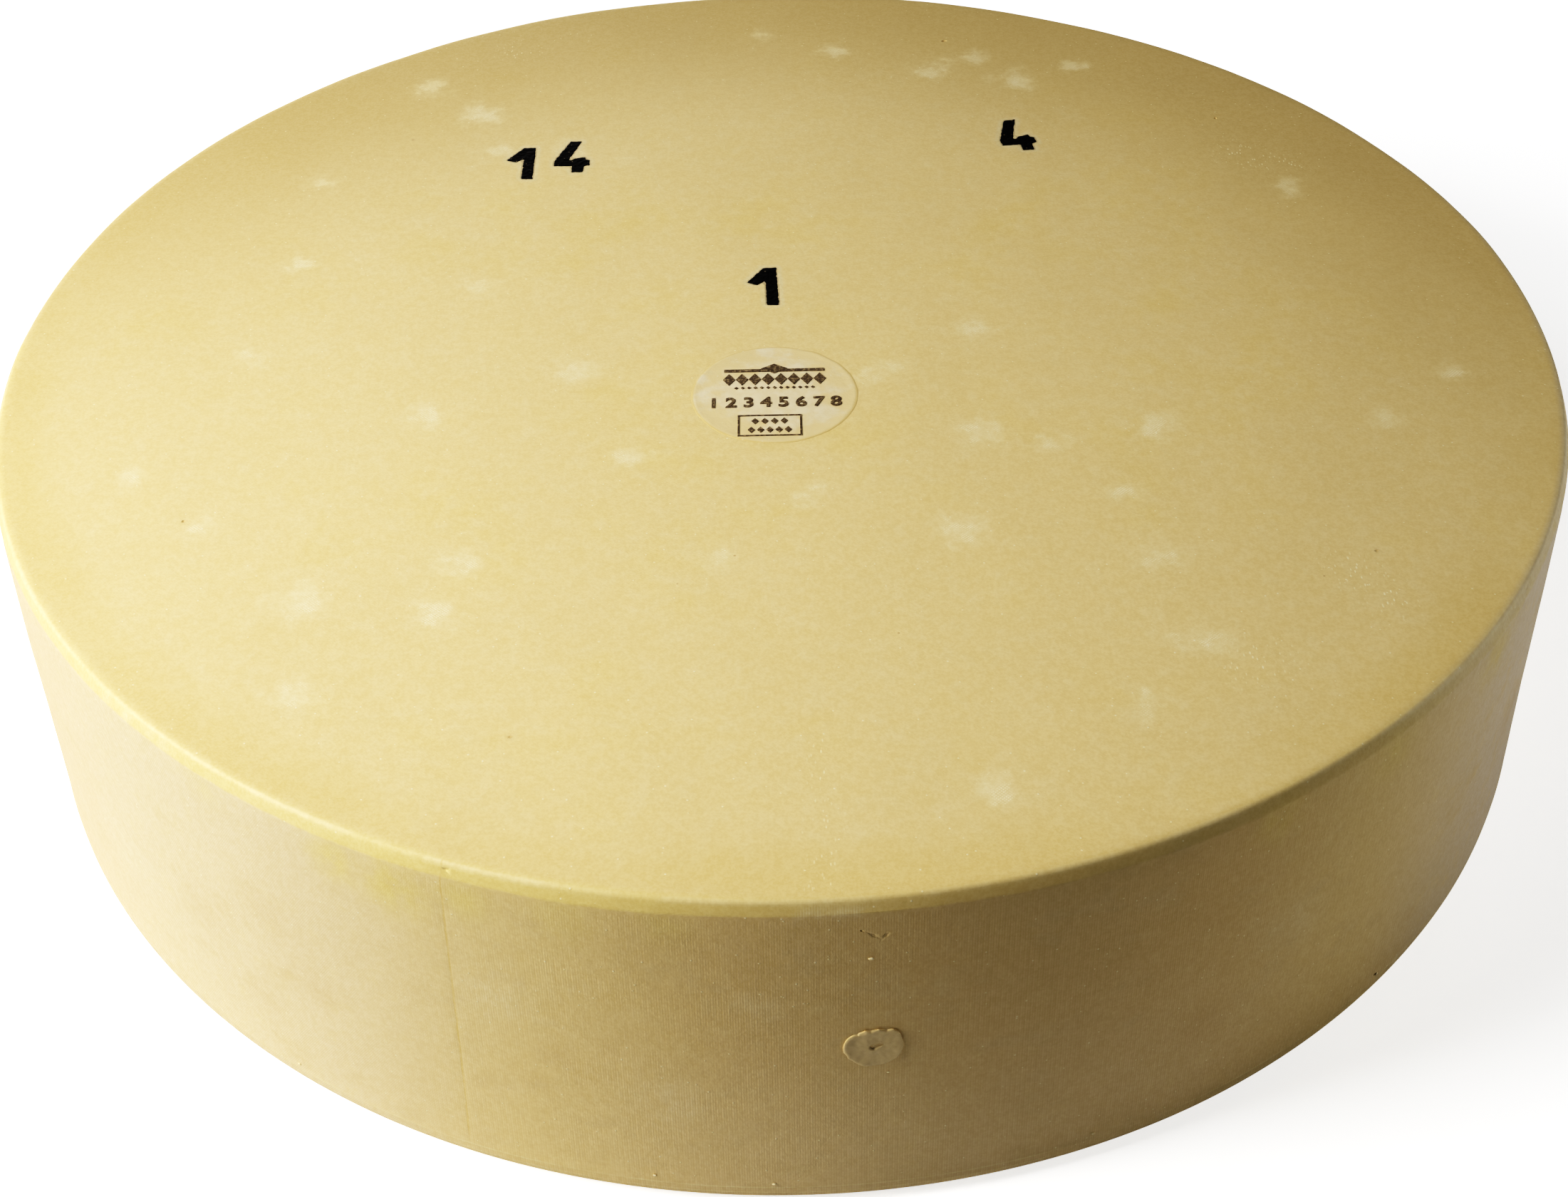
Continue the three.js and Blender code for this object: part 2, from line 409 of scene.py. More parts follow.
lemons = [
    (on_side(math.radians(degrees), height), size, strength)
    for degrees, height, size, strength in (
        (-117.5, 0.129, 0.006, 0.8), (-113.5, 0.127, 0.008, 0.9), (-109.0, 0.130, 0.006, 0.7),
        (-103.0, 0.132, 0.006, 0.4), (-97.0, 0.133, 0.005, 0.4), (-128.0, 0.133, 0.004, 0.4),
        (-60.0, 0.132, 0.006, 0.6), (-50.0, 0.130, 0.006, 0.6), (-38.0, 0.129, 0.007, 0.6),
        (20.0, 0.128, 0.008, 0.7), (80.0, 0.130, 0.008, 0.6), (150.0, 0.129, 0.008, 0.6),
    )
]
spread_over(wheel, "lemon", lemons)
# Trails of crystals along fine closed cracks: where each starts on the top face, which way it
# runs, how long it is, and how wide its crystals lie.
CRACKS = (
    (0.01, -0.23, -90, 0.06, 0.003), (0.15, -0.20, 40, 0.01, 0.006), (0.20, 0.13, -30, 0.02, 0.006),
    (-0.12, 0.24, 0, 0.0, 0.006), (0.19, -0.15, -60, 0.02, 0.006),
)
CRYSTAL_STEP = 0.0075
crystal_draws = np.random.default_rng(31)
crystals = []
for x, y, bearing, length, width in CRACKS:
    along = Vector((math.cos(math.radians(bearing)), math.sin(math.radians(bearing)), 0))
    across = Vector((-along.y, along.x, 0))
    for step in range(round(length / CRYSTAL_STEP) + 1):
        wander = crystal_draws.uniform(-0.001, 0.001)
        size = width * crystal_draws.uniform(0.85, 1.2)
        place = Vector((x, y, WHEEL_HEIGHT)) + along * CRYSTAL_STEP * step + across * wander
        crystals.append((place, size, 1.0))
spread_over(wheel, "crystals", crystals)


class Recipe:
    """Adds nodes to one tree and wires each as it is made, so a finish reads as its steps."""

    def __init__(self, tree):
        self.tree = tree

    def feed(self, socket, value):
        if isinstance(value, bpy.types.NodeSocket):
            self.tree.links.new(value, socket)
        else:
            socket.default_value = value

    def add(self, kind, output=0, inputs=None, **settings):
        node = self.tree.nodes.new("ShaderNode" + kind)
        for name, value in settings.items():
            setattr(node, name, value)
        for name, value in (inputs or {}).items():
            self.feed(node.inputs[name], value)
        return node.outputs[output]

    def sum(self, operation, *values, clamp=False):
        inputs = dict(enumerate(values))
        return self.add("Math", inputs=inputs, operation=operation, use_clamp=clamp)

    def rise(self, value, low, high, start=0.0, end=1.0):
        """Goes smoothly from start to end as the value passes from low to high."""
        inputs = {"Value": value, "From Min": low, "From Max": high}
        inputs.update({"To Min": start, "To Max": end})
        return self.add("MapRange", inputs=inputs, interpolation_type="SMOOTHSTEP")

    def blend(self, first, second, share, how="MIX"):
        inputs = {0: share, 6: first, 7: second}
        return self.add("Mix", 2, inputs, data_type="RGBA", blend_type=how)

    def noise(self, place, size, detail=2.0, roughness=0.5):
        """Soft noise with features of a given size in metres."""
        inputs = {"Vector": place, "Scale": 1 / size, "Detail": detail, "Roughness": roughness}
        return self.add("TexNoise", "Fac", inputs)

    def own(self, name):
        """A value painted on the piece."""
        return self.add("Attribute", "Fac", attribute_name=name)


def new_group(name, takes, gives):
    group = bpy.data.node_groups.new(name, "ShaderNodeTree")
    for label, kind in takes.items():
        group.interface.new_socket(label, in_out="INPUT", socket_type="NodeSocket" + kind)
    for label, kind in gives.items():
        group.interface.new_socket(label, in_out="OUTPUT", socket_type="NodeSocket" + kind)
    return group, group.nodes.new("NodeGroupInput").outputs, group.nodes.new("NodeGroupOutput")


# Fine grain: the suede-like surface of brushed rind and of dry casein.
grain_group, taken, given = new_group(
    "Fine grain", {"Place": "Vector", "Size": "Float"}, {"Height": "Float", "Shade": "Float"}
)
steps = Recipe(grain_group)
fine_place = steps.add("VectorMath", inputs={0: taken["Place"]}, operation="SCALE")
steps.feed(fine_place.node.inputs["Scale"], steps.sum("DIVIDE", 1.0, taken["Size"]))
close_grain = steps.add(
    "TexNoise", "Fac", {"Vector": fine_place, "Scale": 1.0, "Detail": 3.0, "Roughness": 0.62}
)
wide_grain = steps.add(
    "TexNoise", "Fac", {"Vector": fine_place, "Scale": 0.21, "Detail": 2.0, "Roughness": 0.5}
)
steps.feed(given.inputs["Height"], steps.sum("ADD", close_grain, wide_grain))
steps.feed(given.inputs["Shade"], close_grain)

# Flecks: tiny irregular crumbs and crystals of one size, of which only a share shows.
fleck_group, taken, given = new_group(
    "Flecks", {"Place": "Vector", "Spacing": "Float", "Share": "Float", "Width": "Float"},
    {"Mask": "Float"},
)
steps = Recipe(fleck_group)
spot_place = steps.add("VectorMath", inputs={0: taken["Place"]}, operation="SCALE")
steps.feed(spot_place.node.inputs["Scale"], steps.sum("DIVIDE", 1.0, taken["Spacing"]))
cells = steps.add(
    "TexVoronoi", "Distance", {"Vector": spot_place, "Scale": 1.0, "Randomness": 1.0},
    feature="F1",
)
chosen = steps.add("SeparateColor", 0, {"Color": cells.node.outputs["Color"]})
shown = steps.sum("LESS_THAN", chosen, taken["Share"])
inner = steps.sum("MULTIPLY", taken["Width"], 0.45)
disc = steps.rise(cells, inner, taken["Width"], 1.0, 0.0)
steps.feed(given.inputs["Mask"], steps.sum("MULTIPLY", disc, shown))


def group_in(steps, group, output, **inputs):
    node = steps.tree.nodes.new("ShaderNodeGroup")
    node.node_tree = group
    for name, value in inputs.items():
        steps.feed(node.inputs[name], value)
    return node.outputs[output]


def new_finish(name):
    """A material with one Principled shader: gives its recipe, its shader and Object place."""
    finish = bpy.data.materials.new(name)
    finish.use_nodes = True
    steps = Recipe(finish.node_tree)
    shader = finish.node_tree.nodes["Principled BSDF"]
    place = steps.add("TexCoord", "Object")
    return finish, steps, shader, place


# The rind: straw yellow, a little deeper in the rim and where oil has gathered, paler on the side
# where light is painted in and darker where shade is, printed all over with the weave of the cloth.
RIND_STRAW = (0.812, 0.668, 0.390, 1)
RIND_CREAM = (0.822, 0.690, 0.424, 1)
RIND_AMBER = (0.795, 0.645, 0.340, 1)
# the far colour is painted shade on the back part of the top face
RIND_TOP_PAINTED_SHADE = (0.700, 0.560, 0.300, 1)
RIND_LEMON = (0.800, 0.665, 0.315, 1)
RIND_OLIVE = (0.755, 0.600, 0.300, 1)
RIND_BLOOM = (0.860, 0.742, 0.480, 1)
RIND_CRYSTAL = (0.95, 0.87, 0.66, 1)
RIND_SIDE = (0.790, 0.645, 0.368, 1)
# Of the side colours, the deeper one is painted shade at the front; the pale and far ones are painted
# light away from it, and the grey one is a painted reflection on the right.
RIND_SIDE_PAINTED_SHADE = (0.758, 0.600, 0.336, 1)
RIND_SIDE_PAINTED_LIGHT = (0.803, 0.674, 0.450, 1)
RIND_SIDE_FAR_PAINTED_LIGHT = (0.790, 0.638, 0.418, 1)
RIND_SIDE_PAINTED_REFLECTION = (0.775, 0.685, 0.560, 1)
RIND_SIDE_STREAK = (0.745, 0.610, 0.370, 1)
RIND_HOOP_MARK = (0.84, 0.73, 0.48, 1)
RIND_SCUFF = (0.90, 0.81, 0.60, 1)
RIND_BRUISE = (0.56, 0.40, 0.19, 1)
RIND_HALO = (0.800, 0.690, 0.450, 1)
RIND_INK = (0.40, 0.33, 0.22, 1)
GRAIN_DARK = (0.962, 0.948, 0.900, 1)
GRAIN_LIGHT = (1.020, 1.030, 1.060, 1)
RIB_COUNT = 2306                       # ribs of the cloth round the side, about 0.8 mm apart
THREAD_PITCH = 0.0012

rind, steps, shader, place = new_finish("rind")
x, y, z = (steps.add("SeparateXYZ", axis, {0: place}) for axis in ("X", "Y", "Z"))
radius = steps.sum("SQRT", steps.sum("ADD", steps.sum("MULTIPLY", x, x), steps.sum("MULTIPLY", y, y)))
angle = steps.sum("ARCTAN2", y, x)
on_top = steps.rise(radius, 0.2925, 0.2960, 1.0, 0.0)
on_wall = steps.sum("SUBTRACT", 1.0, on_top)

broad = steps.noise(place, 0.12, 2.0)
patchy = steps.noise(place, 0.030, 3.0, 0.6)
small = steps.noise(place, 0.007, 3.0, 0.6)
grain = group_in(steps, grain_group, "Shade", Place=place, Size=0.0011)
grain_height = group_in(steps, grain_group, "Height", Place=place, Size=0.0011)
coarse = group_in(steps, grain_group, "Shade", Place=place, Size=0.0028)

mottle = steps.sum("ADD", steps.sum("MULTIPLY", broad, 0.5), steps.sum("MULTIPLY", patchy, 0.5))
colour = steps.blend(RIND_AMBER, RIND_STRAW, steps.rise(mottle, 0.22, 0.52))
colour = steps.blend(colour, RIND_CREAM, steps.rise(small, 0.40, 0.75, 0.0, 0.8))

# the side: painted shade makes it deeper at the front, painted light makes it paler to both sides of that
# and near the foot, and a painted reflection makes it more grey to the right
streak_place = steps.add("VectorMath", inputs={0: place, 1: (1, 1, 1.7)}, operation="MULTIPLY")
streaks = steps.noise(streak_place, 0.022, 3.0, 0.6)
from_front = steps.sum("ABSOLUTE", steps.sum("ADD", angle, math.radians(78)))
# painted shade: the side deeper at the front, where the light falls off
side = steps.blend(
    RIND_SIDE_PAINTED_SHADE, RIND_SIDE, steps.rise(from_front, math.radians(12), math.radians(28))
)
# painted light: the lower front of the side paler, standing in for light bounced off the floor
low = steps.sum(
    "MULTIPLY", steps.rise(z, 0.110, 0.010),
    steps.rise(from_front, math.radians(34), math.radians(10)),
)
side = steps.blend(side, RIND_SIDE_PAINTED_LIGHT, steps.sum("MULTIPLY", low, 0.55))
# painted light: paler on both sides of the shaded front
side = steps.blend(
    side, RIND_SIDE_PAINTED_LIGHT, steps.rise(from_front, math.radians(26), math.radians(44))
)
# painted light: paler still and bluer further round on both sides
side = steps.blend(
    side, RIND_SIDE_FAR_PAINTED_LIGHT, steps.rise(from_front, math.radians(54), math.radians(76))
)
# painted reflection: more grey on the right, standing in for the grazing sheen of the bright surroundings
painted_reflection = steps.sum(
    "MULTIPLY", steps.rise(angle, math.radians(-54), math.radians(-24)),
    steps.rise(angle, math.radians(40), math.radians(0)),
)
side = steps.blend(side, RIND_SIDE_PAINTED_REFLECTION, painted_reflection)
side = steps.blend(side, RIND_SIDE_STREAK, steps.rise(streaks, 0.52, 0.74, 0.0, 0.50))
side = steps.blend(side, RIND_CREAM, steps.rise(small, 0.50, 0.80, 0.0, 0.4))
side = steps.blend(side, RIND_LEMON, steps.sum(
    "MULTIPLY", steps.own("lemon"), steps.rise(small, 0.30, 0.60, 0.4, 1.0)))
band = steps.rise(steps.sum("ADD", z, steps.sum("MULTIPLY", small, 0.0012)), WHEEL_HEIGHT - 0.0048, WHEEL_HEIGHT - 0.0038)
side = steps.blend(side, RIND_LEMON, steps.sum("MULTIPLY", band, steps.rise(angle, -1.9, -1.3, 0.7, 0.35)))
colour = steps.blend(colour, side, on_wall)

# deeper yellow just inside the rim and just under it, broken up round the wheel
wander = steps.sum("MULTIPLY", steps.sum("SUBTRACT", patchy, 0.5), 0.014)
ragged_radius = steps.sum("ADD", radius, wander)
inside_rim = steps.sum("MULTIPLY", steps.rise(ragged_radius, 0.268, 0.290), on_top)
inside_rim = steps.sum("MULTIPLY", inside_rim, steps.rise(broad, 0.40, 0.60, 0.1, 0.5))
colour = steps.blend(colour, RIND_OLIVE, inside_rim)
# painted shade: the top face darker towards the back, where less light reaches
to_back = steps.sum("ADD", steps.sum("MULTIPLY", x, 0.12), y)
far_painted_shade = steps.sum(
    "MULTIPLY", steps.rise(radius, 0.155, 0.285), steps.rise(to_back, -0.12, 0.16, 0.05, 0.90)
)
colour = steps.blend(colour, RIND_TOP_PAINTED_SHADE, steps.sum("MULTIPLY", far_painted_shade, on_top))

# the crest of the rim paler, partly wear and partly a painted highlight along the edge
crest_wear_and_highlight = steps.sum(
    "MULTIPLY", steps.rise(radius, TOP_RADIUS - 0.0034, TOP_RADIUS - 0.0022),
    steps.rise(z, WHEEL_HEIGHT - 0.0022, WHEEL_HEIGHT - 0.0008),
)
crest_wear_and_highlight = steps.sum("MULTIPLY", crest_wear_and_highlight, steps.rise(patchy, 0.30, 0.60, 0.1, 0.5))
colour = steps.blend(colour, RIND_BLOOM, crest_wear_and_highlight)

# blooms with ragged edges, and crystals that stand in the meshes of the weave
ragged = steps.sum("MULTIPLY", steps.sum("SUBTRACT", steps.noise(place, 0.011, 4.0, 0.62), 0.5), 2.6)
bloom = steps.sum("ADD", steps.sum("MULTIPLY", steps.own("bloom"), 1.15), ragged)
bloom = steps.sum("MULTIPLY", steps.rise(bloom, 0.35, 1.45), steps.rise(steps.own("bloom"), 0.05, 0.3))
colour = steps.blend(colour, RIND_BLOOM, bloom)
across = steps.sum("SINE", steps.sum("MULTIPLY", x, 2 * math.pi / THREAD_PITCH))
along = steps.sum("SINE", steps.sum("MULTIPLY", y, 2 * math.pi / THREAD_PITCH))
mesh = steps.sum("MULTIPLY", across, along)
crystals = steps.sum("MULTIPLY", steps.rise(mesh, 0.20, 0.70), steps.rise(bloom, 0.25, 0.7))
crystals = steps.sum("MULTIPLY", crystals, steps.rise(small, 0.42, 0.58))
colour = steps.blend(colour, RIND_CRYSTAL, steps.sum("MULTIPLY", crystals, 0.8))
drawn_out = steps.add("VectorMath", inputs={0: place, 1: (1, 0.4, 1)}, operation="MULTIPLY")
trail = group_in(
    steps, fleck_group, "Mask", Place=drawn_out, Spacing=0.0013, Share=0.75, Width=0.30
)
trail = steps.sum("MULTIPLY", trail, steps.own("crystals"))
colour = steps.blend(colour, RIND_CRYSTAL, steps.sum("MULTIPLY", trail, 0.9))

# hoop marks, the seam, scuffs, bruises and the halo of the casein marks
mark_levels = steps.sum("PINGPONG", steps.sum("SUBTRACT", z, HOOP_MARKS[0][0]), 0.00145)
hoop_share = steps.sum("MULTIPLY", steps.rise(mark_levels, 0.0005, 0.0001), on_wall)
hoop_share = steps.sum("MULTIPLY", hoop_share, steps.rise(z, 0.0120, 0.0105))
hoop_share = steps.sum("MULTIPLY", hoop_share, steps.rise(patchy, 0.35, 0.65, 0.15, 0.9))
colour = steps.blend(colour, RIND_HOOP_MARK, hoop_share)
lean = (SEAM_TOP - SEAM_FOOT) / WHEEL_HEIGHT
seam_angle = steps.sum("ADD", steps.sum("MULTIPLY", z, lean), SEAM_FOOT)
seam_waver = steps.sum("MULTIPLY", steps.sum("SUBTRACT", small, 0.5), 0.0035)
from_seam = steps.sum("ABSOLUTE", steps.sum("ADD", steps.sum("SUBTRACT", angle, seam_angle), seam_waver))
seam_line = steps.sum("MULTIPLY", steps.rise(from_seam, 0.0017, 0.0006), on_wall)
seam_line = steps.sum("MULTIPLY", seam_line, steps.rise(z, 0.008, 0.020))
seam_line = steps.sum("MULTIPLY", seam_line, steps.rise(small, 0.30, 0.55, 0.35, 0.9))
colour = steps.blend(colour, RIND_OLIVE, seam_line)
turn = steps.sum("MULTIPLY", angle, float(RIB_COUNT))
ribs = steps.sum("SINE", turn)
scuff = steps.sum("MULTIPLY", steps.own("scuff"), steps.rise(small, 0.30, 0.60, 0.1, 1.0))
scuff = steps.sum("MULTIPLY", scuff, steps.rise(ribs, -0.4, 0.4, 0.35, 1.0))
colour = steps.blend(colour, RIND_SCUFF, scuff)
bruise = steps.sum("MULTIPLY", steps.own("bruise"), steps.rise(small, 0.30, 0.60, 0.3, 1.0))
colour = steps.blend(colour, RIND_BRUISE, bruise)
bleed = steps.own("bleed")
halo = steps.sum("MULTIPLY", steps.rise(bleed, 0.02, 0.5), steps.rise(small, 0.30, 0.70, 0.6, 1.0))
colour = steps.blend(colour, RIND_HALO, halo)
colour = steps.blend(colour, RIND_INK, steps.rise(bleed, 0.80, 1.0, 0.0, 0.6))

flecks = group_in(steps, fleck_group, "Mask", Place=place, Spacing=0.0034, Share=0.45, Width=0.13)
colour = steps.blend(colour, RIND_CRYSTAL, steps.sum("MULTIPLY", flecks, 0.7))
specks = group_in(steps, fleck_group, "Mask", Place=place, Spacing=0.018, Share=0.10, Width=0.030)
colour = steps.blend(colour, RIND_BRUISE, steps.sum("MULTIPLY", specks, 0.6))

# the cloth: upright ribs round the front, a slanting twill elsewhere, each printed in patches
other_ribs = steps.sum("SINE", steps.sum("MULTIPLY", turn, 0.5))
ribs = steps.sum("ADD", ribs, steps.sum("MULTIPLY", other_ribs, 0.5))
slant = steps.sum("MULTIPLY", z, -2 * math.pi / THREAD_PITCH)
twill = steps.sum("SINE", steps.sum("ADD", turn, slant))
twilled = steps.rise(steps.sum("ADD", from_front, wander), math.radians(26), math.radians(44))
cloth = steps.add("Mix", 0, {0: twilled, 2: ribs, 3: twill}, data_type="FLOAT")
printed_share = steps.rise(steps.noise(place, 0.022, 3.0, 0.6), 0.30, 0.65, 0.25, 1.0)
printed_share = steps.sum("MULTIPLY", printed_share, steps.rise(grain, 0.30, 0.60, 0.2, 1.2))
printed_share = steps.sum("MULTIPLY", printed_share, steps.rise(z, 0.1365, 0.1350))
cloth = steps.sum("MULTIPLY", cloth, steps.sum("MULTIPLY", printed_share, on_wall))
cloth_shade = steps.rise(cloth, -1.0, 1.0)
speckle = steps.sum("ADD", steps.sum("MULTIPLY", grain, 0.55), steps.sum("MULTIPLY", coarse, 0.45))
grain_tint = steps.blend(GRAIN_DARK, GRAIN_LIGHT, steps.rise(speckle, 0.36, 0.64))
cloth_tint = steps.blend(GRAIN_DARK, GRAIN_LIGHT, cloth_shade)
colour = steps.blend(colour, grain_tint, 1.0, "MULTIPLY")
colour = steps.blend(colour, cloth_tint, steps.sum("MULTIPLY", on_wall, 0.9), "MULTIPLY")
steps.feed(shader.inputs["Base Color"], colour)

# relief, in metres
relief = steps.sum("MULTIPLY", cloth, 0.000007)
pressed = steps.sum("MULTIPLY", mesh, steps.sum("MULTIPLY", on_top, 0.000004))
relief = steps.sum("ADD", relief, pressed)
relief = steps.sum("ADD", relief, steps.sum("MULTIPLY", grain_height, 0.00006))
relief = steps.sum("ADD", relief, steps.sum("MULTIPLY", small, 0.00008))
relief = steps.sum("ADD", relief, steps.sum("MULTIPLY", flecks, 0.00005))
bump = steps.add("Bump", inputs={"Height": relief, "Strength": 1.0, "Distance": 1.0})
steps.feed(shader.inputs["Normal"], bump)
sheen_of_oil = steps.rise(mottle, 0.30, 0.65, 0.60, 0.50)
steps.feed(shader.inputs["Roughness"], steps.sum("ADD", sheen_of_oil, steps.sum("MULTIPLY", small, 0.08)))
shader.inputs["Specular IOR Level"].default_value = 0.4

wheel.data.materials.clear()
wheel.data.materials.append(rind)
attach(wheel, "root")
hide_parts("cheese_wheel")


# The casein marks.
# Four figures of black casein, cut from thin plaques and pressed into the fresh curd, where they
# grew into the rind. Their edges are soft and a little ragged, and their ink bled round them.

MARK_GRAIN = 0.0003
MARK_PROUD = 0.00012
CASEIN_BLACK = (0.0065, 0.0048, 0.0036, 1)
CASEIN_WORN = (0.020, 0.014, 0.010, 1)
CASEIN_DUST = (0.42, 0.34, 0.22, 1)
BLEED_REACH = 0.0017

black_casein, steps, shader, place = new_finish("black_casein")
grain = group_in(steps, grain_group, "Shade", Place=place, Size=0.0012)
grain_height = group_in(steps, grain_group, "Height", Place=place, Size=0.0012)
worn = steps.noise(place, 0.004, 3.0)
colour = steps.blend(CASEIN_BLACK, CASEIN_WORN, steps.rise(worn, 0.50, 0.75))
pinholes = group_in(steps, fleck_group, "Mask", Place=place, Spacing=0.0026, Share=0.50, Width=0.16)
colour = steps.blend(colour, CASEIN_DUST, steps.sum("MULTIPLY", pinholes, 0.8))
steps.feed(shader.inputs["Base Color"], colour)
relief = steps.sum("MULTIPLY", grain_height, 0.00005)
relief = steps.sum("SUBTRACT", relief, steps.sum("MULTIPLY", pinholes, 0.00008))
bump = steps.add("Bump", inputs={"Height": relief, "Strength": 1.0, "Distance": 1.0})
steps.feed(shader.inputs["Normal"], bump)
steps.feed(shader.inputs["Roughness"], steps.rise(grain, 0.3, 0.7, 0.50, 0.66))
shader.inputs["Specular IOR Level"].default_value = 0.3

fraying = cloudy("fraying", 0.0016, 2)
mark_points = []
for node in MARKS:
    mark = bpy.data.objects.new(node.replace("casein", "mark"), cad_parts[node].data.copy())
    bpy.context.scene.collection.objects.link(mark)
    edit(mark)
    bpy.ops.mesh.select_all(action="SELECT")
    bpy.ops.mesh.remove_doubles(threshold=1e-6)
    bpy.ops.transform.translate(value=(0, 0, MARK_PROUD))
    leave_edit()
    finish_with(mark, "REMESH", mode="VOXEL", voxel_size=MARK_GRAIN)
    finish_with(mark, "SMOOTH", factor=0.5, iterations=2)
    finish_with(mark, "DISPLACE", texture=fraying, strength=0.0004, mid_level=0.5)
    settle(mark)
    bpy.ops.object.shade_smooth()
    mark_points += [corner.co.copy() for corner in mark.data.vertices]
    mark.data.materials.clear()
    mark.data.materials.append(black_casein)
    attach(mark, "root")
    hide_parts(node)

# the ink that bled into the rind, painted by how near the rind is to a mark
nearest = kdtree.KDTree(len(mark_points))
for index, point in enumerate(mark_points):
    nearest.insert(point, index)
nearest.balance()
bleed = []
for corner in wheel.data.vertices:
    share = 0.0
    if near_marks(Vector((corner.co.x, corner.co.y, WHEEL_HEIGHT))) and corner.co.z > 0.13:
        apart = nearest.find(corner.co)[2]
        share = math.exp(-((apart / BLEED_REACH) ** 2))
    bleed.append(share)
layer = wheel.data.attributes.new("bleed", "FLOAT", "POINT")
layer.data.foreach_set("value", bleed)


# The label.
# A round plaque of pale casein, pressed into the top face like the marks and gone nearly the
# colour of the rind. Its lip stands a little proud, and its edge is no longer quite round.

label_low, label_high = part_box("casein_label")
LABEL_MIDDLE = (label_low + label_high) / 2
LABEL_RADIUS = (label_high.x - label_low.x) / 2
LABEL_PROUD = 0.00007
LABEL_DEPTH = 0.0009
LABEL_LIP = 0.00007
CASEIN_PALE = (0.812, 0.705, 0.490, 1)
CASEIN_CREAM = (0.840, 0.745, 0.550, 1)
CASEIN_STAINED = (0.800, 0.665, 0.400, 1)
CASEIN_EDGE = (0.750, 0.595, 0.290, 1)

bpy.ops.mesh.primitive_circle_add(
    vertices=180, radius=LABEL_RADIUS - 0.0003, fill_type="NGON",
    location=(LABEL_MIDDLE.x, LABEL_MIDDLE.y, WHEEL_HEIGHT + LABEL_PROUD),
)
label = bpy.context.object
label.name = "label_plaque"
bpy.ops.object.transform_apply(location=True)


def from_label(place):
    return (place.xy - LABEL_MIDDLE.xy).length


edit(label)
bpy.ops.mesh.select_all(action="SELECT")
bpy.ops.mesh.extrude_region_move(TRANSFORM_OT_translate={"value": (0, 0, -LABEL_DEPTH)})
bpy.ops.mesh.select_all(action="SELECT")
bpy.ops.mesh.normals_make_consistent(inside=False)
pick("FACE", lambda middle: middle.z > WHEEL_HEIGHT and from_label(middle) < 0.001)
for width, lift in ((0.0004, 0.00005), (0.0006, LABEL_LIP), (0.0007, 0.0), (0.0006, -LABEL_LIP)):
    bpy.ops.mesh.inset(thickness=width, depth=0)
    bpy.ops.transform.translate(value=(0, 0, lift))
for ring in range(11):
    bpy.ops.mesh.inset(thickness=0.0024, depth=0)
leave_edit()
wavering = cloudy("wavering", 0.009, 1)
for direction in ("X", "Y"):
    finish_with(
        label, "DISPLACE", texture=wavering, strength=0.0008, mid_level=0.5, direction=direction
    )
settle(label)
take(label)
bpy.ops.object.shade_smooth_by_angle(angle=math.radians(50))

pale_casein, steps, shader, place = new_finish("pale_casein")
from_middle = steps.add(
    "VectorMath", inputs={0: place, 1: (-LABEL_MIDDLE.x, -LABEL_MIDDLE.y, 0)}, operation="ADD"
)
x, y = (steps.add("SeparateXYZ", axis, {0: from_middle}) for axis in ("X", "Y"))
radius = steps.sum("SQRT", steps.sum("ADD", steps.sum("MULTIPLY", x, x), steps.sum("MULTIPLY", y, y)))
patchy = steps.noise(place, 0.012, 3.0, 0.6)
small = steps.noise(place, 0.0035, 3.0, 0.6)
grain = group_in(steps, grain_group, "Shade", Place=place, Size=0.0012)
grain_height = group_in(steps, grain_group, "Height", Place=place, Size=0.0012)
colour = steps.blend(CASEIN_PALE, CASEIN_CREAM, steps.rise(small, 0.35, 0.65))
outer = steps.rise(radius, 0.012, 0.030, 0.0, 0.30)
stained = steps.rise(steps.sum("ADD", patchy, outer), 0.56, 0.78, 0.0, 0.85)
colour = steps.blend(colour, CASEIN_STAINED, stained)
lip = steps.rise(radius, LABEL_RADIUS - 0.0013, LABEL_RADIUS - 0.0006, 0.0, 0.7)
colour = steps.blend(colour, CASEIN_EDGE, lip)
flecks = group_in(steps, fleck_group, "Mask", Place=place, Spacing=0.0024, Share=0.3, Width=0.2)
colour = steps.blend(colour, CASEIN_CREAM, steps.sum("MULTIPLY", flecks, 0.7))
steps.feed(shader.inputs["Base Color"], colour)
relief = steps.sum("MULTIPLY", grain_height, 0.00005)
relief = steps.sum("ADD", relief, steps.sum("MULTIPLY", small, 0.00014))
bump = steps.add("Bump", inputs={"Height": relief, "Strength": 1.0, "Distance": 1.0})
steps.feed(shader.inputs["Normal"], bump)
steps.feed(shader.inputs["Roughness"], steps.rise(small, 0.3, 0.7, 0.48, 0.60))
label.data.materials.append(pale_casein)
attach(label, "root")
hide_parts("casein_label")


# The print on the label.
# Food-safe brown ink: a row of plain lozenges between two rules, a row of counting numbers and
# an empty frame, where a dairy would put its own words.

PRINT_LEVEL = WHEEL_HEIGHT + LABEL_PROUD + 0.00022
PRINT_THICKNESS = 0.00018
INK = (0.16, 0.115, 0.07, 1)
INK_WORN = (0.46, 0.37, 0.23, 1)

prints = []


def printed(place):
    """A place on the label, from its middle, at the level of the print."""
    return Vector((LABEL_MIDDLE.x + place[0], LABEL_MIDDLE.y + place[1], PRINT_LEVEL))


def print_bar(place, width, height):
    bpy.ops.mesh.primitive_cube_add(size=1, location=printed(place))
    bar = bpy.context.object
    bar.scale = (width, height, PRINT_THICKNESS)
    bpy.ops.object.transform_apply(location=True, scale=True)
    prints.append(bar)


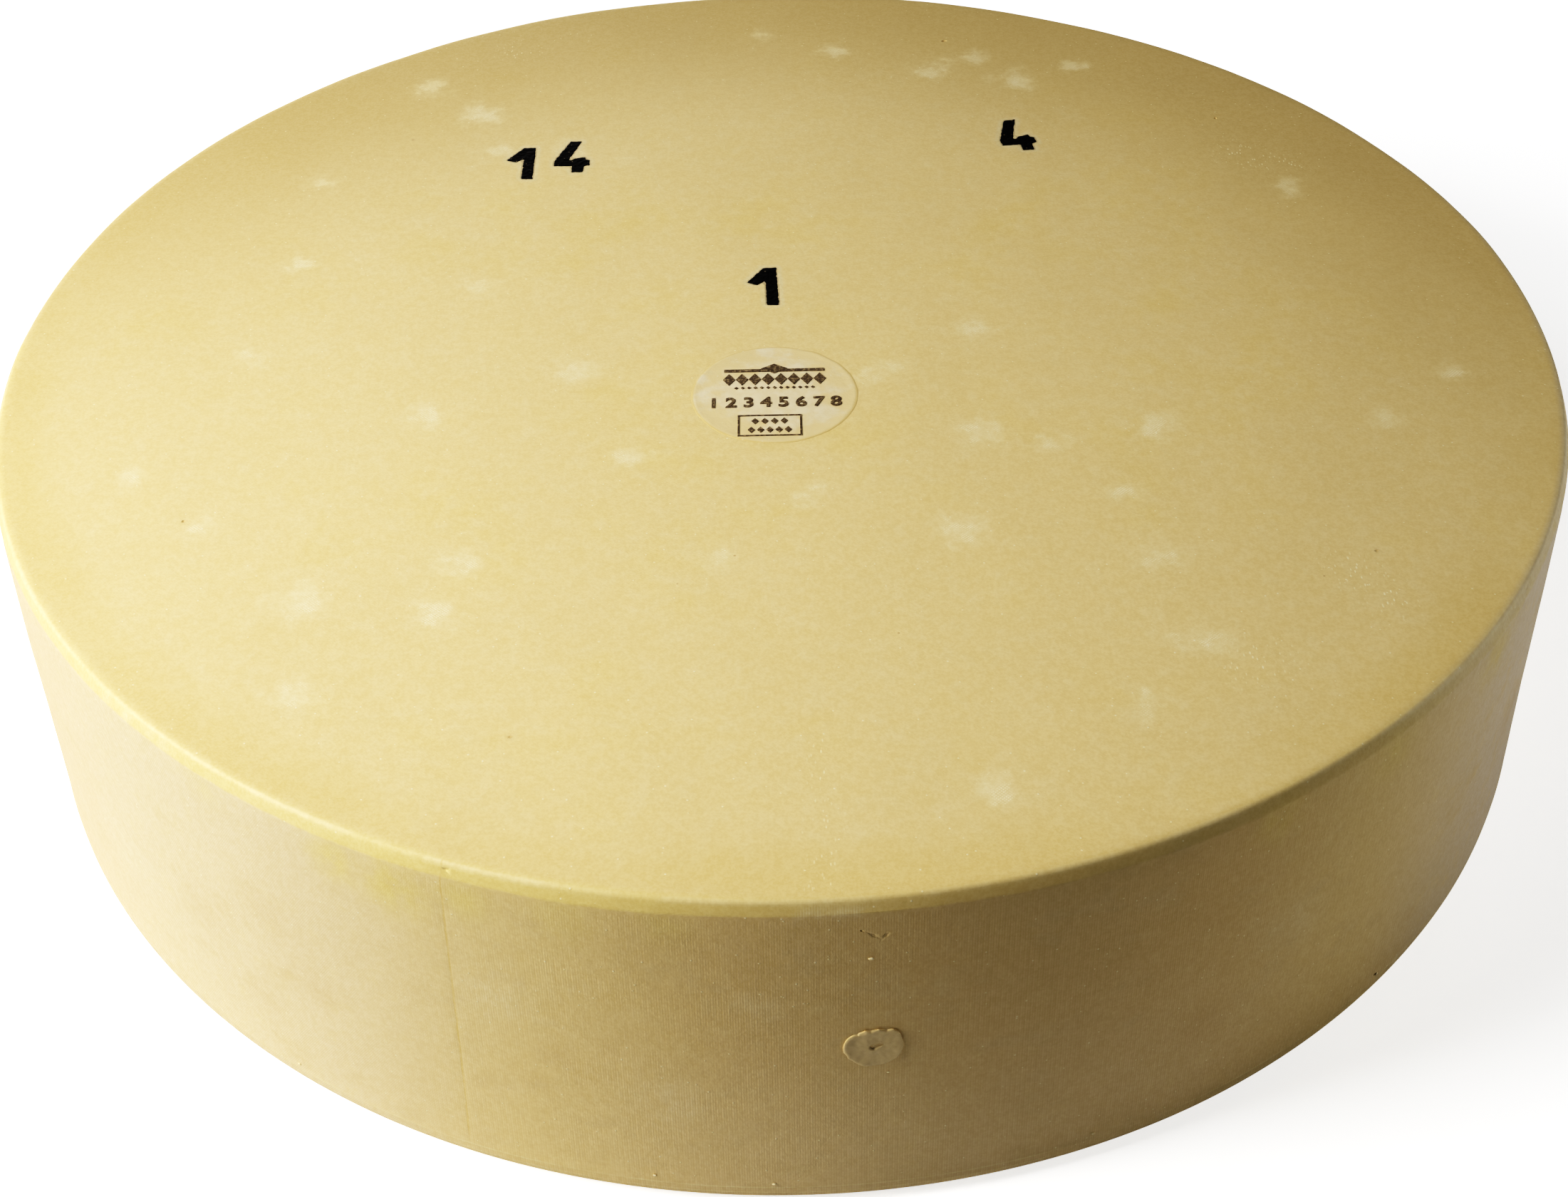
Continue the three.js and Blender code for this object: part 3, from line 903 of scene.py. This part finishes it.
def print_lozenge(place, width, height):
    bpy.ops.mesh.primitive_cylinder_add(
        vertices=4, radius=0.5, depth=PRINT_THICKNESS, location=printed(place)
    )
    lozenge = bpy.context.object
    lozenge.scale = (width, height, 1)
    bpy.ops.object.transform_apply(location=True, scale=True)
    prints.append(lozenge)


print_bar((0, 0.0150), 0.038, 0.0017)
print_lozenge((0, 0.0162), 0.0100, 0.0062)
for index in range(8):
    print_lozenge(((index - 3.5) * 0.0049, 0.0092), 0.0046, 0.0074)
for index in range(13):
    print_lozenge(((index - 6) * 0.0024, 0.0036), 0.0014, 0.0015)
bpy.ops.object.text_add(location=printed((0, -0.0060)))
numbers = bpy.context.object
numbers.data.body = "1 2 3 4 5 6 7 8"
numbers.data.size = 0.0084
numbers.data.align_x = "CENTER"
numbers.data.align_y = "CENTER"
numbers.data.extrude = PRINT_THICKNESS / 2
numbers.data.offset = 0.00022
bpy.ops.object.convert(target="MESH")
bpy.ops.object.transform_apply(location=True)
prints.append(bpy.context.object)
for side in (-1, 1):
    print_bar((-0.002, -0.0203 + side * 0.0062), 0.023, 0.0006)
    print_bar((-0.002 + side * 0.0115, -0.0203), 0.0006, 0.0130)
for index in range(4):
    print_lozenge((-0.002 + (index - 1.5) * 0.0036, -0.0176), 0.0026, 0.0036)
for index in range(5):
    print_lozenge((-0.002 + (index - 2) * 0.0034, -0.0230), 0.0026, 0.0036)

take(prints[0])
for part in prints[1:]:
    part.select_set(True)
bpy.ops.object.join()
label_print = bpy.context.object
label_print.name = "label_print"
edit(label_print)
bpy.ops.mesh.select_all(action="SELECT")
bpy.ops.mesh.remove_doubles(threshold=1e-6)
bpy.ops.mesh.quads_convert_to_tris()
for axis, middle in (((1, 0, 0), LABEL_MIDDLE.x), ((0, 1, 0), LABEL_MIDDLE.y)):
    score(lambda place: True, axis, [middle + step * 0.002 for step in range(-14, 13)])
leave_edit()
settle(label_print)
take(label_print)
bpy.ops.object.shade_smooth_by_angle(angle=math.radians(30))

ink, steps, shader, place = new_finish("label_ink")
faded = steps.noise(place, 0.0012, 3.0, 0.65)
colour = steps.blend(INK, INK_WORN, steps.rise(faded, 0.45, 0.70))
steps.feed(shader.inputs["Base Color"], colour)
grain_height = group_in(steps, grain_group, "Height", Place=place, Size=0.0012)
relief = steps.sum("MULTIPLY", grain_height, 0.00004)
bump = steps.add("Bump", inputs={"Height": relief, "Strength": 1.0, "Distance": 1.0})
steps.feed(shader.inputs["Normal"], bump)
shader.inputs["Roughness"].default_value = 0.55
label_print.data.materials.clear()
label_print.data.materials.append(ink)
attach(label_print, "root")


# The smear on the side.
# Where a core was drawn with the cheese-tester's auger and the hole closed again with its own
# plug and soft curd: a thin, smooth, uneven patch with a stepped edge and a dimple.

SMEAR_RADIUS = 0.0093
bpy.ops.mesh.primitive_circle_add(vertices=72, radius=SMEAR_RADIUS, fill_type="NGON")
smear = bpy.context.object
smear.name = "smear_over_core"
edit(smear)
bpy.ops.mesh.select_all(action="SELECT")
bpy.ops.mesh.extrude_region_move(TRANSFORM_OT_translate={"value": (0, 0, -0.0007)})
bpy.ops.mesh.select_all(action="SELECT")
bpy.ops.mesh.normals_make_consistent(inside=False)
pick("FACE", lambda middle: middle.z > -1e-5 and middle.xy.length < 0.002)
SMEAR_RINGS = (
    (0.00025, 0.00014), (0.0005, 0.00008), (0.0010, -0.00006), (0.0014, -0.00008),
    (0.0014, 0.0), (0.0014, 0.0), (0.0012, 0.00006), (0.0008, 0.0), (0.0003, -0.0002),
    (0.0004, -0.0004),
)
for width, lift in SMEAR_RINGS:
    bpy.ops.mesh.inset(thickness=width, depth=0)
    bpy.ops.transform.translate(value=(0, 0, lift))
PULLS = (
    ((0.0, 0.0093), (0.0, -0.0016), 0.0075), ((-0.0060, 0.0070), (-0.0006, -0.0012), 0.0050),
    ((0.0064, 0.0066), (0.0010, 0.0), 0.0042), ((-0.0066, -0.0066), (0.0004, 0.0002), 0.0045),
    ((0.0066, -0.0066), (0.0002, 0.0), 0.0050), ((-0.0076, -0.0030), (0.0008, 0.0006), 0.0018),
    ((0.0016, 0.0074), (0.0, 0.0007), 0.0013), ((-0.0026, 0.0074), (0.0, 0.0006), 0.0011),
    ((0.0042, 0.0078), (0.0, -0.0006), 0.0013), ((-0.0050, 0.0066), (0.0003, -0.0006), 0.0011),
    ((0.0060, 0.0078), (0.0, 0.0004), 0.0009), ((-0.0010, 0.0076), (0.0, -0.0004), 0.0009),
    ((0.0012, 0.0010), (0.0032, 0.0004), 0.0016),
)
for spot, pull, reach in PULLS:
    spot = Vector((*spot, 0))
    corners = [corner.co.copy() for corner in bmesh.from_edit_mesh(smear.data).verts]
    closest = min(corners, key=lambda place: (place - spot).length)
    pick("VERT", lambda place: (place - closest).length < 1e-6)
    bpy.ops.transform.translate(
        value=(*pull, 0), use_proportional_edit=True, proportional_edit_falloff="SMOOTH",
        proportional_size=reach,
    )
bpy.ops.mesh.select_all(action="SELECT")
bpy.ops.mesh.subdivide(number_cuts=1)
leave_edit()
creasing = cloudy("creasing", 0.0034, 2)
finish_with(smear, "DISPLACE", texture=creasing, strength=0.00055, mid_level=0.5, direction="Z")
smear.rotation_euler = (math.pi / 2, 0, SMEAR_ANGLE + math.pi / 2)
smear.location = on_side(SMEAR_ANGLE, SMEAR_HEIGHT, 0.0001)
take(smear)
bpy.ops.object.transform_apply(location=True, rotation=True)
bpy.ops.object.shade_smooth_by_angle(angle=math.radians(38))

SMEAR_DEEP = (0.700, 0.565, 0.325, 1)
SMEAR_PALE = (0.730, 0.595, 0.355, 1)
SMEAR_FLECK = (0.76, 0.63, 0.40, 1)

curd, steps, shader, place = new_finish("smeared_curd")
small = steps.noise(place, 0.004, 3.0)
grain = group_in(steps, grain_group, "Shade", Place=place, Size=0.0014)
grain_height = group_in(steps, grain_group, "Height", Place=place, Size=0.0014)
colour = steps.blend(SMEAR_DEEP, SMEAR_PALE, steps.rise(small, 0.30, 0.62))
colour = steps.blend(colour, SMEAR_FLECK, steps.rise(grain, 0.52, 0.72, 0.0, 0.6))
steps.feed(shader.inputs["Base Color"], colour)
relief = steps.sum("MULTIPLY", grain_height, 0.00004)
bump = steps.add("Bump", inputs={"Height": relief, "Strength": 1.0, "Distance": 1.0})
steps.feed(shader.inputs["Normal"], bump)
steps.feed(shader.inputs["Roughness"], steps.rise(small, 0.3, 0.7, 0.42, 0.52))
smear.data.materials.append(curd)
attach(smear, "root")


# Crumbs.
# A few grains of dried curd that still cling to the rind.

CRUMBS = (
    (on_side(math.radians(-85.5), 0.1180, 0.0), 0.0009),
    (on_side(math.radians(-84.4), 0.0655, 0.0001), 0.0006),
    (on_side(math.radians(-98.7), 0.0130, 0.0002), 0.0007),
    (on_side(math.radians(-91.3), 0.0118, 0.0002), 0.0008),
    (on_side(math.radians(-71.0), 0.0128, 0.0002), 0.0008),
    (on_side(math.radians(-47.0), 0.0125, 0.0002), 0.0007),
    (on_side(math.radians(-124.0), 0.0122, 0.0002), 0.0007),
)
crumbs = []
for middle, size in CRUMBS:
    crumb = lump(middle, (size, size * 0.4, size * 0.6), 0)
    turn = Matrix.Rotation(around(middle) + math.pi / 2, 4, "Z")
    crumb.data.transform(Matrix.Translation(middle) @ turn @ Matrix.Translation(-middle))
    crumbs.append(crumb)
take(crumbs[0])
for crumb in crumbs[1:]:
    crumb.select_set(True)
bpy.ops.object.join()
crumb_piece = bpy.context.object
crumb_piece.name = "crumbs"
bpy.ops.object.shade_smooth()

crumb_finish, steps, shader, place = new_finish("dried_curd")
small = steps.noise(place, 0.0008, 2.0)
colour = steps.blend(RIND_CREAM, RIND_SCUFF, steps.rise(small, 0.35, 0.65))
steps.feed(shader.inputs["Base Color"], colour)
bump = steps.add("Bump", inputs={
    "Height": steps.sum("MULTIPLY", small, 0.0001), "Strength": 1.0, "Distance": 1.0})
steps.feed(shader.inputs["Normal"], bump)
shader.inputs["Roughness"].default_value = 0.6
crumb_piece.data.materials.append(crumb_finish)
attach(crumb_piece, "root")


# The floor, the light and the camera.

bpy.ops.mesh.primitive_circle_add(vertices=96, radius=30, fill_type="NGON")
floor = bpy.context.object
floor.name = "floor"
floor_paint, steps, shader, place = new_finish("floor_paint")
shader.inputs["Base Color"].default_value = (0.90, 0.90, 0.895, 1)
shader.inputs["Roughness"].default_value = 0.9
shader.inputs["Specular IOR Level"].default_value = 0.1
# seen straight on, the floor shows as bright as overlit studio paper, with a faint soft shadow
paper = steps.add("Emission", inputs={"Color": (1, 1, 1, 1), "Strength": 0.62})
lit = steps.add("AddShader", inputs={0: shader.outputs[0], 1: paper})
beyond = steps.add("Emission", inputs={"Color": (1, 1, 1, 1), "Strength": 1.2})
distance = steps.add("VectorMath", "Value", {0: place}, operation="LENGTH")
lit = steps.add("MixShader", inputs={0: steps.rise(distance, 0.45, 1.3), 1: lit, 2: beyond})
seen = steps.add("LightPath", "Is Camera Ray")
surface = steps.add("MixShader", inputs={0: seen, 1: shader.outputs[0], 2: lit})
steps.feed(floor_paint.node_tree.nodes["Material Output"].inputs["Surface"], surface)
floor.data.materials.append(floor_paint)

studio = bpy.data.worlds.new("studio")
studio.use_nodes = True
bpy.context.scene.world = studio
steps = Recipe(studio.node_tree)
background = studio.node_tree.nodes["Background"]
seen = steps.add("LightPath", "Is Camera Ray")
steps.feed(background.inputs["Color"], (1, 1, 1, 1))
steps.feed(background.inputs["Strength"], steps.sum("MULTIPLY", seen, 1.2))


def soft_light(name, degrees, elevation, distance, size, power):
    """A square soft box that faces the wheel from an angle round it and above it."""
    turn, lift = math.radians(degrees), math.radians(elevation)
    aim = Vector((0, 0, WHEEL_HEIGHT / 2))
    way = Vector((math.cos(turn) * math.cos(lift), math.sin(turn) * math.cos(lift), math.sin(lift)))
    bpy.ops.object.light_add(type="AREA", location=aim + way * distance)
    light = bpy.context.object
    light.name = name
    light.data.size = size
    light.data.energy = power
    light.rotation_euler = way.to_track_quat("Z", "Y").to_euler()


soft_light("key_near", -155, 52, 1.0, 0.5, 6.0)
soft_light("key_far", -165, 28, 3.5, 1.0, 60.0)
soft_light("right_low", 0, 4, 2.5, 1.0, 22.0)
soft_light("right_fill", 20, 12, 2.5, 1.2, 6.0)
soft_light("back_low", 105, 5, 2.5, 1.2, 11.0)

bpy.ops.object.camera_add(location=(0, -0.7109, 0.6120))
camera = bpy.context.object
camera.matrix_world = (
    Matrix.Translation((0, -0.7109, 0.6120))
    @ Matrix.Rotation(math.radians(49.41), 4, "X")
    @ Matrix.Rotation(math.radians(-1.14), 4, "Z")
)
camera.data.lens = 49.69
camera.data.sensor_width = 36
camera.data.clip_start = 0.01
camera.data.clip_end = 200
bpy.context.scene.camera = camera

view = bpy.context.scene.view_settings
view.view_transform = "Standard"
view.look = "None"
view.use_curve_mapping = True
# an S curve like film's: its contrast, and how early its light tones roll off
TONE_CONTRAST = 2.2
TONE_KNEE = 0.27
TONE_STEPS = 12
tone = view.curve_mapping.curves[3]
for step in range(1, TONE_STEPS):
    scene_light = step / TONE_STEPS
    raised = scene_light ** TONE_CONTRAST
    tone.points.new(scene_light, raised * (1 + TONE_KNEE) / (raised + TONE_KNEE))
view.curve_mapping.update()
